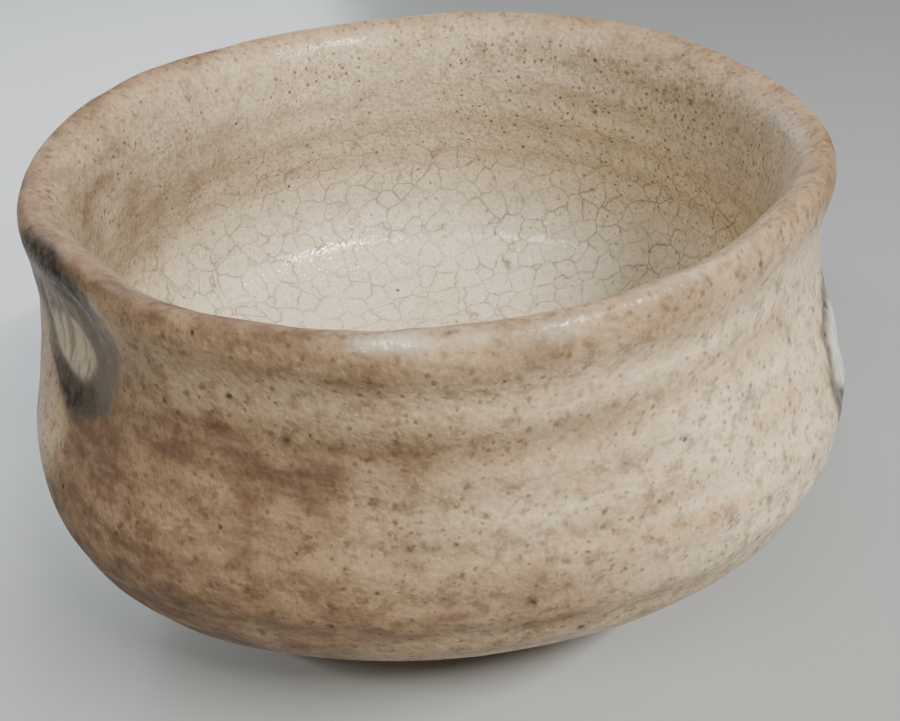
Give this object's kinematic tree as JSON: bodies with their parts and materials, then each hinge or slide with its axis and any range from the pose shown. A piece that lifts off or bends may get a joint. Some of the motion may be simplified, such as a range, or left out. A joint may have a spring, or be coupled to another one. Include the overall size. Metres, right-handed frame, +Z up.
{
  "type": "matcha bowl",
  "caption": "Waisted hand-thrown tea bowl with a rounded lip, a low foot ring, crackled glaze and brushed marks in thumb dents.",
  "frame": {"origin": "centre of the foot ring's resting face", "axes": "+Z up through the bowl's mouth, +X towards the side with the smaller brushed mark, -Y towards the lowest part of the lip"},
  "size_m": [0.1284, 0.1265, 0.0761],
  "materials": {
    "fired_clay": "bare fired clay, matt and slightly gritty",
    "outside_glaze": "satin, warm beige with orange-brown blush and iron specks",
    "inside_glaze": "satin gloss, fine crackle and iron specks, whiter where it pools",
    "white_slip": "brushed greyish white slip under a thin glaze",
    "iron_wash": "dark grey-brown brushed oxide, satin"
  },
  "bodies": {
    "root": {"clay_body": "fired_clay", "foot_ring": "fired_clay", "outer_glaze": "outside_glaze", "inner_glaze": "inside_glaze", "slip_panel_left": "white_slip", "slip_panel_right": "white_slip", "brush_stroke_left": "iron_wash", "brush_stroke_right": "iron_wash"}
  },
  "joints": []
}
